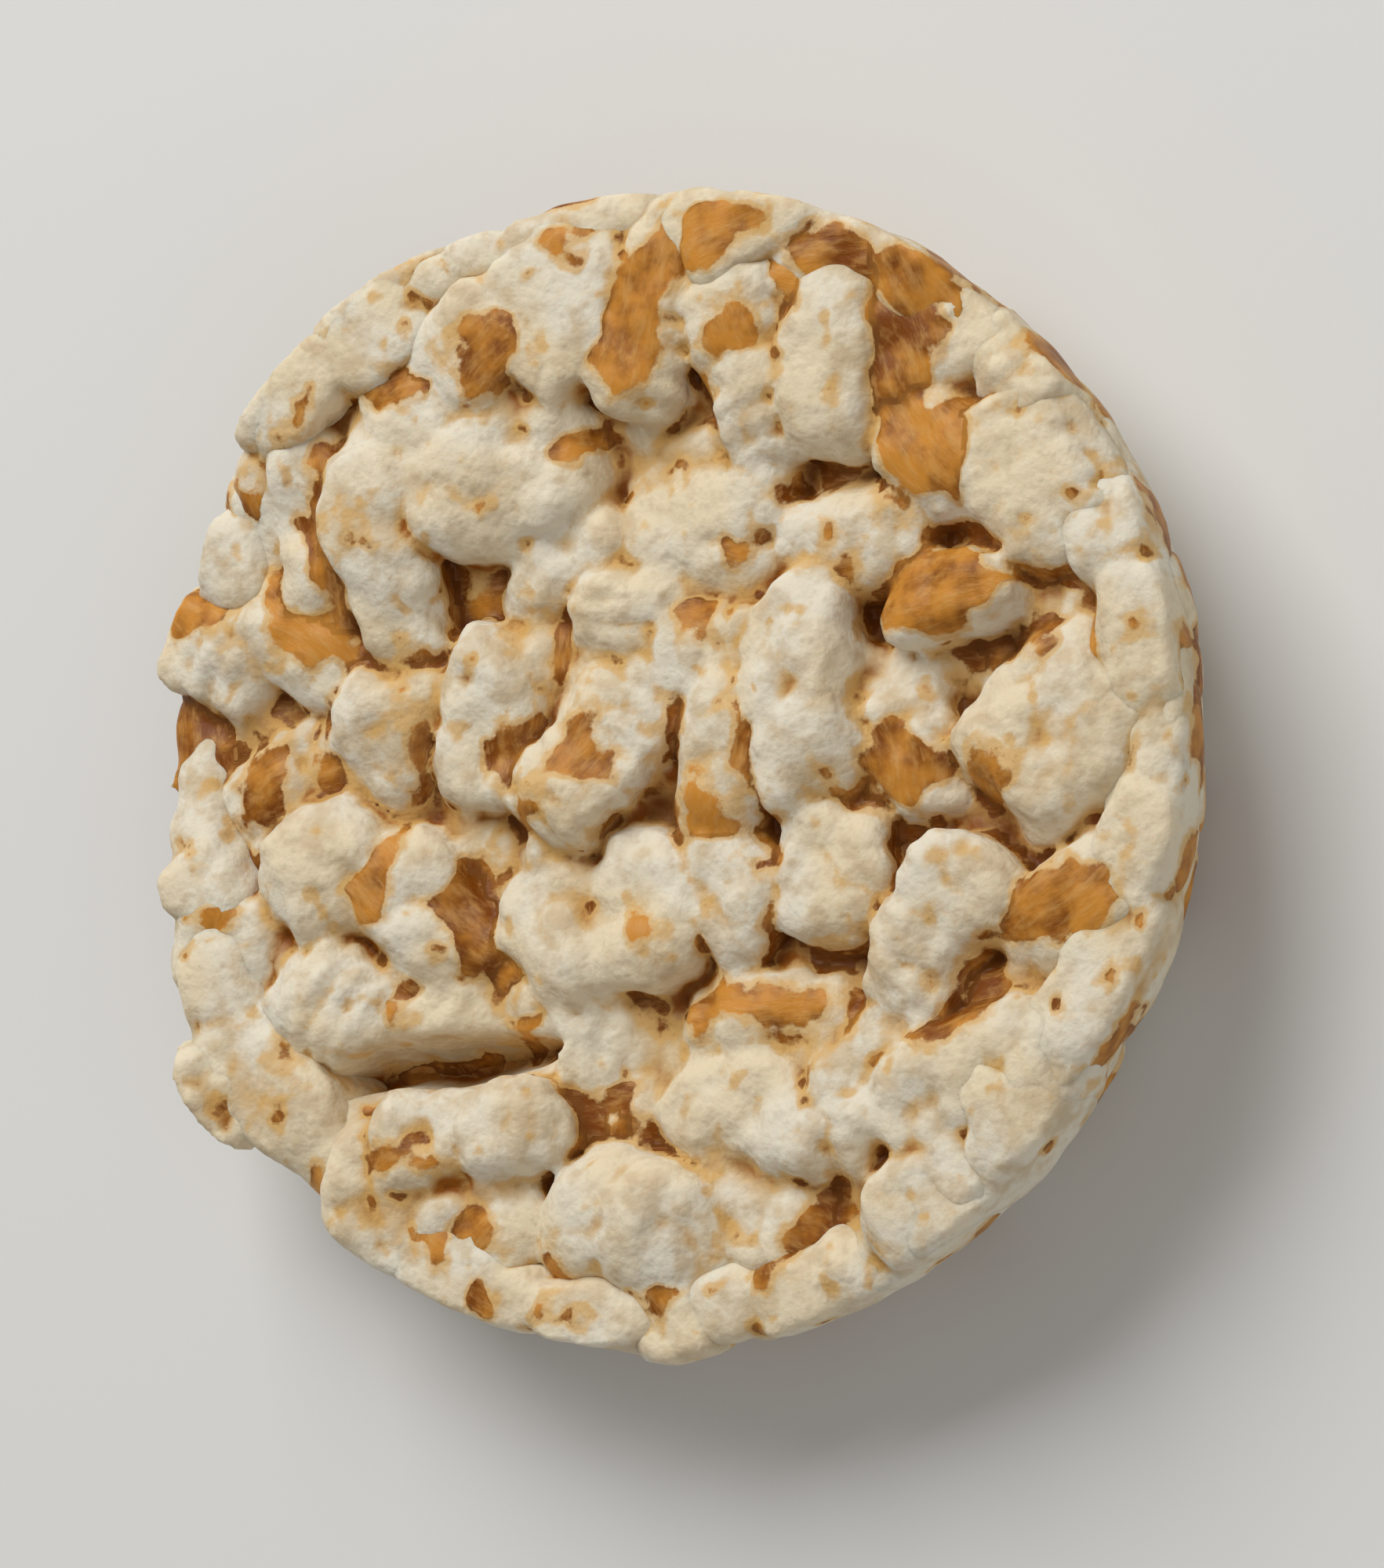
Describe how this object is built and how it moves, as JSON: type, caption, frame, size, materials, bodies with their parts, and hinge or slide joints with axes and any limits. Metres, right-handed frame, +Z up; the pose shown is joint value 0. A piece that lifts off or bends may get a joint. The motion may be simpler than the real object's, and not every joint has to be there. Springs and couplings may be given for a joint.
{
  "type": "puffed grain cake",
  "caption": "Small round crisp cake of popped whole-grain kernels fused in a mould, slightly dished on top, with a smooth rim on one side and a crumbled edge on the other.",
  "frame": {"origin": "under the middle of the cake, on the surface it lies on", "axes": "+Z up out of the dished face; +X towards the whole, smooth rim; +Y along the face, at a right angle to +X"},
  "size_m": [0.0493, 0.0496, 0.0103],
  "materials": {
    "puffed_grain": "dry, crisp puffed foam, off-white, with satin orange-brown bran patches"
  },
  "bodies": {
    "root": {"puffed_cake": "puffed_grain"}
  },
  "joints": []
}
